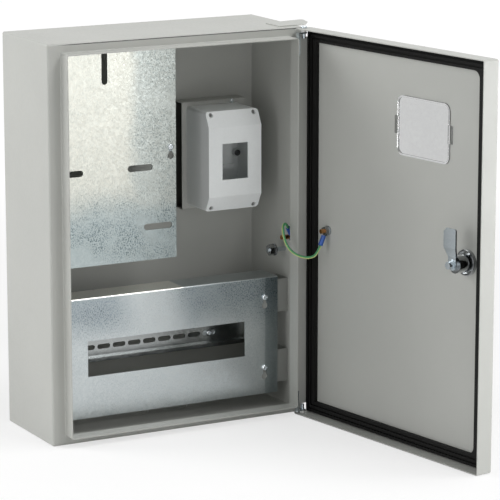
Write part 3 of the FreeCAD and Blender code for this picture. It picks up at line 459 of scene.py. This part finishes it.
def galvanised_sheet(name, bright, dark_zone_tone):
    """Galvanised sheet on the meter plate and the cover, and on the posts and the angle behind them: fine
    crystals, dark specks in patches as painted reflection in the crystals' facets, and a darker, bluer tone
    in the painted zones, with painted shade and dark reflection on the meter plate."""
    finish, tree, shader = material(name)
    spangle = place_group(tree, spangle_group, Crystals_Per_Metre=420.0, Tilt=0.05)
    zones = place_group(tree, zone_group, Ragged=0.03)
    dark_zones = zones.outputs["Dark Zones"]
    colour = two_tones(tree, spangle.outputs["Tone"], 0.0, 1.0, *zinc_tones)
    # Darker, bluer zones: painted shade and dark reflection on the meter plate, and the cover's darker upper
    # edge
    colour = tinted(tree, colour, two_tones(tree, dark_zones, 0.0, 1.0, bright, dark_zone_tone))
    # Painted light reflected down from the meter plate onto the cover's top
    colour = mixed(tree, colour, reflected_light_zinc, zones.outputs["Bright"], "MIX")
    specks = maths(tree, "MULTIPLY", spangle.outputs["Specks"], value_range(tree, dark_zones, *speck_shares))
    colour = tinted(tree, colour, speck_tint, specks)
    # Painted dark reflection at the cover's right end
    colour = tinted(tree, colour, dark_reflection_tint, zones.outputs["Dark Reflection"])
    tree.links.new(colour, shader.inputs["Base Color"])
    shader.inputs["Metallic"].default_value = 1.0
    tree.links.new(value_range(tree, spangle.outputs["Tone"], 0.28, 0.36), shader.inputs["Roughness"])
    tree.links.new(spangle.outputs["Normal"], shader.inputs["Normal"])
    return finish


facing_limits = (0.05, 0.6)


def plated_metal(name, low, high, rough_low, rough_high, depth=0.45):
    """Plated small parts: one metal with faint marks, and painted dark reflection where a face is seen
    straight on. The depth is the share of the colour that is left there."""
    finish, tree, shader = material(name)
    marks = place_group(tree, marks_group, Mark_Size=40.0)
    facing = add(tree, "ShaderNodeLayerWeight", Blend=0.35)
    colour = two_tones(tree, marks.outputs["Mask"], 0.0, 1.0, low, high)
    shades = ((depth, depth, depth), (1.0, 1.0, 1.0))
    # Painted dark reflection on faces seen straight on
    shade = two_tones(tree, facing.outputs["Facing"], *facing_limits, *shades)
    tree.links.new(tinted(tree, colour, shade), shader.inputs["Base Color"])
    roughness = value_range(tree, marks.outputs["Mask"], rough_low, rough_high)
    tree.links.new(roughness, shader.inputs["Roughness"])
    shader.inputs["Metallic"].default_value = 1.0
    return finish


plastic_grain = 2200.0
plastic_peel_depth = 0.00004


def smooth_plastic(name, low, high, rough_low, rough_high, shine=0.5):
    """Moulded plastic or rubber with a faint texture."""
    finish, tree, shader = material(name)
    marks = place_group(tree, marks_group, Mark_Size=60.0)
    height = place_group(tree, grain_group, Grain_Size=plastic_grain).outputs["Height"]
    colour = two_tones(tree, marks.outputs["Mask"], 0.0, 1.0, low, high)
    tree.links.new(colour, shader.inputs["Base Color"])
    roughness = value_range(tree, marks.outputs["Mask"], rough_low, rough_high)
    tree.links.new(roughness, shader.inputs["Roughness"])
    tree.links.new(bump(tree, height, plastic_peel_depth, strength=0.4), shader.inputs["Normal"])
    shader.inputs["Specular IOR Level"].default_value = shine
    return finish


pane_tones = ((0.565, 0.57, 0.57), (0.59, 0.595, 0.595))


def clear_pane():
    """Clear pane that has gone slightly cloudy."""
    finish, tree, shader = material("clear_pane")
    marks = place_group(tree, marks_group, Mark_Size=30.0)
    colour = two_tones(tree, marks.outputs["Mask"], 0.0, 1.0, *pane_tones)
    tree.links.new(colour, shader.inputs["Base Color"])
    tree.links.new(value_range(tree, marks.outputs["Mask"], 0.02, 0.05), shader.inputs["Roughness"])
    shader.inputs["Transmission Weight"].default_value = 1.0
    shader.inputs["IOR"].default_value = 1.2
    return finish


stripe_yellow = (0.54, 0.60, 0.23, 1.0)
stripe_green = (0.050, 0.25, 0.095, 1.0)
stripe_bands = ((0.0, stripe_yellow), (0.21, stripe_yellow), (0.25, stripe_green),
                (0.75, stripe_green), (0.79, stripe_yellow))
stripe_turn = -0.05


def lead_insulation():
    """Green insulation with a yellow stripe that keeps to one side of the lead, turning slightly. A
    new ramp has two stops, and the others are added."""
    finish, tree, shader = material("lead_insulation")
    along, around, _ = axes(tree, add(tree, "ShaderNodeUVMap", {"uv_map": "lead"}).outputs["UV"])
    turned = maths(tree, "ADD", maths(tree, "MULTIPLY", along, stripe_turn), around)
    stripe = add(tree, "ShaderNodeValToRGB")
    stops = stripe.color_ramp.elements
    for k, (place, colour) in enumerate(stripe_bands):
        stop = stops[k] if k < 2 else stops.new(place)
        stop.position = place
        stop.color = colour
    tree.links.new(maths(tree, "FRACT", turned), stripe.inputs["Fac"])
    tree.links.new(stripe.outputs["Color"], shader.inputs["Base Color"])
    marks = place_group(tree, marks_group, Mark_Size=150.0)
    tree.links.new(value_range(tree, marks.outputs["Mask"], 0.30, 0.42), shader.inputs["Roughness"])
    return finish


finishes = {
    "paint": grey_paint("light_grey_paint", (0.450, 0.457, 0.432), (0.478, 0.484, 0.456)),
    # A darker copy of the paint: painted shade on the cover's angles
    "shaded_angle_paint": grey_paint("shaded_angle_paint", (0.300, 0.306, 0.290), (0.325, 0.330, 0.312)),
    "galvanised": galvanised_sheet("galvanised", (0.55, 0.585, 0.59), (0.31, 0.355, 0.38)),
    # The meter plate's brighter, warmer tone is a painted sheen
    "galvanised_plate_sheen": galvanised_sheet("galvanised_plate_sheen", (0.62, 0.62, 0.56), (0.405, 0.455, 0.455)),
    "zinc_plate": plated_metal("zinc_plate", (0.62, 0.68, 0.72), (0.65, 0.71, 0.745), 0.21, 0.24, 0.7),
    "bright_zinc": plated_metal("bright_zinc", (0.74, 0.78, 0.81), (0.82, 0.86, 0.88), 0.12, 0.20, 0.85),
    "rail_zinc": plated_metal("rail_zinc", (0.60, 0.63, 0.63), (0.68, 0.71, 0.71), 0.16, 0.26, 0.60),
    "lock_chrome": plated_metal("lock_chrome", (0.58, 0.60, 0.61), (0.74, 0.76, 0.77), 0.10, 0.20, 0.12),
    "copper_plate": plated_metal("copper_plate", (0.50, 0.22, 0.07), (0.74, 0.38, 0.16), 0.22, 0.40),
    "dark_screw": plated_metal("dark_screw", (0.16, 0.16, 0.16), (0.26, 0.26, 0.26), 0.32, 0.45),
    "grey_screw": plated_metal("grey_screw", (0.40, 0.40, 0.39), (0.50, 0.50, 0.49), 0.32, 0.45),
    "seal_rubber": smooth_plastic("seal_rubber", (0.004, 0.004, 0.0038), (0.008, 0.008, 0.0075),
                                  0.55, 0.70, 0.16),
    "bush_plastic": smooth_plastic("bush_plastic", (0.78, 0.78, 0.76), (0.84, 0.84, 0.82), 0.35, 0.45),
    "box_grey": smooth_plastic("box_grey", (0.80, 0.83, 0.825), (0.82, 0.85, 0.84), 0.36, 0.48),
    "box_white": smooth_plastic("box_white", (0.825, 0.85, 0.85), (0.84, 0.865, 0.865), 0.28, 0.40),
    "blue_sleeve": smooth_plastic("blue_sleeve", (0.014, 0.065, 0.31), (0.022, 0.105, 0.41), 0.25, 0.38),
    "clear_pane": clear_pane(),
    "wire_green": lead_insulation(),
}

# Nodes whose finish differs in tone from the rest of their slot; the cover's angles take painted shade, and
# the meter plate a painted sheen
other_finish = {
    "meter_plate": "galvanised_plate_sheen",
    "module_rail": "rail_zinc",
    "main_earth_nut": "lock_chrome",
    "door_earth_nut": "lock_chrome",
    "frame_screws": "bright_zinc",
    "cover_screws": "bright_zinc",
    "plate_screws": "bright_zinc",
    "rail_screws": "bright_zinc",
    "module_box_screws": "grey_screw",
    "cover_bracket_left_lower": "shaded_angle_paint",
    "cover_bracket_left_upper": "shaded_angle_paint",
    "cover_bracket_right_lower": "shaded_angle_paint",
    "cover_bracket_right_upper": "shaded_angle_paint",
}

for part in frame["record"]["subparts"]:
    for holder in nodes[part["node"]].material_slots:
        holder.material = finishes[other_finish.get(part["node"], part["material_slot"])]


# Pieces
def new_piece(name, verts, faces, finish):
    """A mesh object in the scene, from points and faces, with one material."""
    mesh = bpy.data.meshes.new(name)
    mesh.from_pydata(verts, [], faces)
    mesh.materials.append(finish)
    mesh.update()
    piece = bpy.data.objects.new(name, mesh)
    bpy.context.scene.collection.objects.link(piece)
    return piece


# Right end of the mounting rail, which runs on past the window's edge
rail_low, rail_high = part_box("module_rail")
rail_end_length = 0.030
rail_sheet = 0.001
rail_half_web = 0.0135


def rail_end():
    """A top hat section drawn out along X: the same outline at both ends, joined side by side. The
    web is the part between the two bends, and the lips stand out above and below it."""
    t, web = rail_sheet, rail_half_web
    face, back = rail_low[1], rail_high[1]
    lip = (rail_high[2] - rail_low[2]) / 2
    ends = (rail_high[0], rail_high[0] + rail_end_length)
    outline = np.array([(face, lip), (face + t, lip), (face + t, web), (back, web), (back, -web),
                        (face + t, -web), (face + t, -lip), (face, -lip), (face, -web + t),
                        (back - t, -web + t), (back - t, web - t), (face, web - t)])
    outline[:, 1] += (rail_low[2] + rail_high[2]) / 2
    rings = np.stack([np.column_stack([np.full(len(outline), x), outline]) for x in ends])
    count = len(outline)
    sides = [(k, (k + 1) % count, count + (k + 1) % count, count + k) for k in range(count)]
    caps = [tuple(range(count))[::-1], tuple(range(count, 2 * count))]
    return new_piece("rail_end", rings.reshape(-1, 3).tolist(), sides + caps, finishes["rail_zinc"])


extra_rail = rail_end()
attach(extra_rail, "cabinet")


# Earthing lead: a smooth spline through the same points as the solid, made into a round tube
lead_points = (
    wire_exit_body,
    (0.1530, -0.1326, 0.0006),
    (0.1435, -0.1420, -0.0020),
    (0.1412, -0.1490, -0.0135),
    (0.1426, -0.1535, -0.0240),
    (0.1465, -0.1605, -0.0320),
    (0.1536, -0.1685, -0.0370),
    (0.1636, -0.1760, -0.0388),
    (0.1712, -0.1818, -0.0340),
    wire_exit_door,
)
steps_between_points = 12
lead_sides = 24
stripe_repeat = 0.06


def spline_points(points, steps):
    """Points along the NURBS spline of order 3 whose control points are given."""
    curve = bpy.data.curves.new("lead_route", "CURVE")
    curve.dimensions = "3D"
    spline = curve.splines.new("NURBS")
    spline.points.add(len(points) - 1)
    for place, point in zip(spline.points, points):
        place.co = (*point, 1.0)
    spline.order_u = 3
    spline.use_endpoint_u = True
    spline.resolution_u = steps
    holder = bpy.data.objects.new("lead_route", curve)
    bpy.context.scene.collection.objects.link(holder)
    mesh = bpy.data.meshes.new_from_object(holder)
    line = np.empty(len(mesh.vertices) * 3)
    mesh.vertices.foreach_get("co", line)
    bpy.data.objects.remove(holder)
    return line.reshape(-1, 3)


def tube_along(line, radius, around):
    """Rings of a tube: each ring is the line's point plus the radius times the cosine of the angle
    along one side vector and the sine along the other, with side vectors carried on square to the
    line."""
    ahead = np.gradient(line, axis=0)
    ahead /= np.linalg.norm(ahead, axis=1)[:, None]
    side = np.empty_like(line)
    side[0] = np.cross(ahead[0], (0.0, 0.0, 1.0))
    for k in range(1, len(line)):
        side[k] = side[k - 1] - ahead[k] * side[k - 1].dot(ahead[k])
        side[k] /= np.linalg.norm(side[k])
    side[0] /= np.linalg.norm(side[0])
    across = np.cross(ahead, side)
    angle = np.arange(around) * 2 * math.pi / around
    outward = (np.cos(angle)[None, :, None] * side[:, None]
               + np.sin(angle)[None, :, None] * across[:, None])
    return line[:, None] + radius * outward


def tube_piece(name, rings, finish, uv_name):
    """A closed tube from rings of points, with both ends capped. Its UV map has the length along the
    tube, one for each stripe repeat, and the turn around it."""
    count, around = rings.shape[:2]
    k, j = np.meshgrid(np.arange(count - 1), np.arange(around), indexing="ij")
    low = k * around
    following = (j + 1) % around
    quads = np.stack([low + j, low + following, low + around + following, low + around + j], axis=-1)
    faces = [tuple(int(i) for i in quad) for quad in quads.reshape(-1, 4)]
    caps = [tuple(range(around))[::-1], tuple((count - 1) * around + i for i in range(around))]
    piece = new_piece(name, rings.reshape(-1, 3).tolist(), faces + caps, finish)
    step = np.linalg.norm(np.diff(rings.mean(axis=1), axis=0), axis=1)
    along = np.concatenate([[0.0], np.cumsum(step)]) / stripe_repeat
    u = np.stack([along[k], along[k], along[k + 1], along[k + 1]], axis=-1)
    v = np.stack([j, j + 1, j + 1, j], axis=-1) / around
    pairs = np.stack([u, v], axis=-1).reshape(-1, 2)
    ends = np.zeros((2 * around, 2))
    layer = piece.data.uv_layers.new(name=uv_name)
    layer.data.foreach_set("uv", np.concatenate([pairs, ends]).ravel())
    piece.data.polygons.foreach_set("use_smooth", np.r_[np.ones(len(faces), bool), [False, False]])
    piece.data.update()
    return piece


lead_line = spline_points(lead_points, steps_between_points)
lead_rings = tube_along(lead_line, wire_diameter / 2, lead_sides)
lead = tube_piece("earthing_lead", lead_rings, finishes["wire_green"], "lead")
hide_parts("earth_wire")
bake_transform(lead)


# Floor, world and lamps
floor_half = 14.0
floor_cloud_scale = 3.0
floor_tones = ((0.93, 0.93, 0.93), (0.95, 0.95, 0.95))
floor_glow = 1.02
glow_near = 0.62
glow_distances = (0.5, 1.6)
under_cabinet = (("X", 0.0, 0.172), ("Y", -0.068, 0.064))
world_light = 0.18
lamp_target = Vector((0.0, -0.1, 0.0))
lamps = (
    ("left", (-1.8, -0.42, 0.38), 1.2, 8.8),
    ("left_back", (-1.5, 0.9, 1.0), 1.0, 18.5),
    ("top", (0.0, -0.1, 2.0), 1.4, 5.0),
    ("top_front", (0.7, -0.62, 1.85), 0.7, 13.6),
    ("front", (-0.5, -2.3, 0.3), 1.2, 5.1),
    ("right_low", (0.9, -1.9, 0.05), 0.5, 2.1),
    ("door_edge", (1.4, -1.1, -0.05), 0.4, 10.2),
    ("front_high", (0.42, -1.3, 1.25), 0.5, 5.8),
)


def seen_directly(tree):
    """One for camera rays, rays through glass and gloss, and zero for the rays that light things."""
    path = add(tree, "ShaderNodeLightPath")
    seen = maths(tree, "MAXIMUM", path.outputs["Is Camera Ray"], path.outputs["Is Transmission Ray"])
    return maths(tree, "MAXIMUM", seen, path.outputs["Is Glossy Ray"])


def outside_cabinet(tree):
    """A mask that is 0 on the floor right under the cabinet, so that its knock-outs stay dark."""
    places = dict(zip("XYZ", axes(tree, object_coordinates(tree))))
    beyond = []
    for axis, middle, reach in under_cabinet:
        from_middle = maths(tree, "ABSOLUTE", maths(tree, "SUBTRACT", places[axis], middle))
        beyond.append(maths(tree, "GREATER_THAN", from_middle, reach))
    return maths(tree, "MAXIMUM", *beyond)


def pale_floor():
    """A large pale floor that keeps the object's shadow, and turns to plain white further out."""
    finish, tree, shader = material("pale_floor")
    cloud = noise(tree, object_coordinates(tree), floor_cloud_scale, detail=2.0)
    colour = two_tones(tree, cloud.outputs["Fac"], *cloud_limits, *floor_tones)
    tree.links.new(colour, shader.inputs["Base Color"])
    shader.inputs["Roughness"].default_value = 0.9
    shader.inputs["Specular IOR Level"].default_value = 0.0
    glow = add(tree, "ShaderNodeEmission", Strength=floor_glow)
    distance = vectors(tree, "LENGTH", object_coordinates(tree)).outputs["Value"]
    open_floor = maths(tree, "MULTIPLY", value_range(tree, distance, glow_near, 1.0, *glow_distances),
                       outside_cabinet(tree))
    mix = add(tree, "ShaderNodeMixShader")
    tree.links.new(maths(tree, "MULTIPLY", seen_directly(tree), open_floor), mix.inputs[0])
    tree.links.new(shader.outputs[0], mix.inputs[1])
    tree.links.new(glow.outputs[0], mix.inputs[2])
    tree.links.new(mix.outputs[0], tree.nodes["Material Output"].inputs["Surface"])
    corners = [(x * floor_half, y * floor_half, floor_z) for x, y in ((-1, -1), (1, -1), (1, 1), (-1, 1))]
    return new_piece("floor", corners, [(0, 1, 2, 3)], finish)


def pale_world(light_level):
    """White to the camera, to gloss and through glass; a plain level of light for the rest."""
    world = bpy.data.worlds.new("pale_world")
    bpy.context.scene.world = world
    world.use_nodes = True
    tree = world.node_tree
    sky = tree.nodes["Background"]
    sky.inputs["Color"].default_value = (1.0, 1.0, 1.0, 1.0)
    tree.links.new(value_range(tree, seen_directly(tree), light_level, 1.0), sky.inputs["Strength"])


def soft_lamp(name, place, size, power):
    """A square lamp that faces the middle of the cabinet."""
    data = bpy.data.lights.new(name, "AREA")
    data.shape = "SQUARE"
    data.size = size
    data.energy = power
    lamp = bpy.data.objects.new(name, data)
    lamp.location = place
    lamp.rotation_euler = (lamp_target - lamp.location).to_track_quat("-Z", "Y").to_euler()
    bpy.context.scene.collection.objects.link(lamp)


pale_floor()
pale_world(world_light)
for lamp_values in lamps:
    soft_lamp(*lamp_values)


# Camera: the photograph's viewing angle, with its turns in radians and its lens in millimetres
camera_place = (-1.5441, -3.1865, 0.7183)
camera_turn_right = 0.4943
camera_tilt_down = 0.2125
camera_lens = 202.08
camera_sensor = 36.0
camera_clip_end = 60.0


def photo_camera():
    """The camera that the final picture is taken with."""
    data = bpy.data.cameras.new("photo_camera")
    data.lens = camera_lens
    data.sensor_width = camera_sensor
    data.clip_end = camera_clip_end
    camera = bpy.data.objects.new("photo_camera", data)
    camera.location = camera_place
    camera.rotation_euler = (math.pi / 2 - camera_tilt_down, 0.0, -camera_turn_right)
    bpy.context.scene.collection.objects.link(camera)
    bpy.context.scene.camera = camera


photo_camera()
bpy.context.scene.view_settings.view_transform = "Standard"
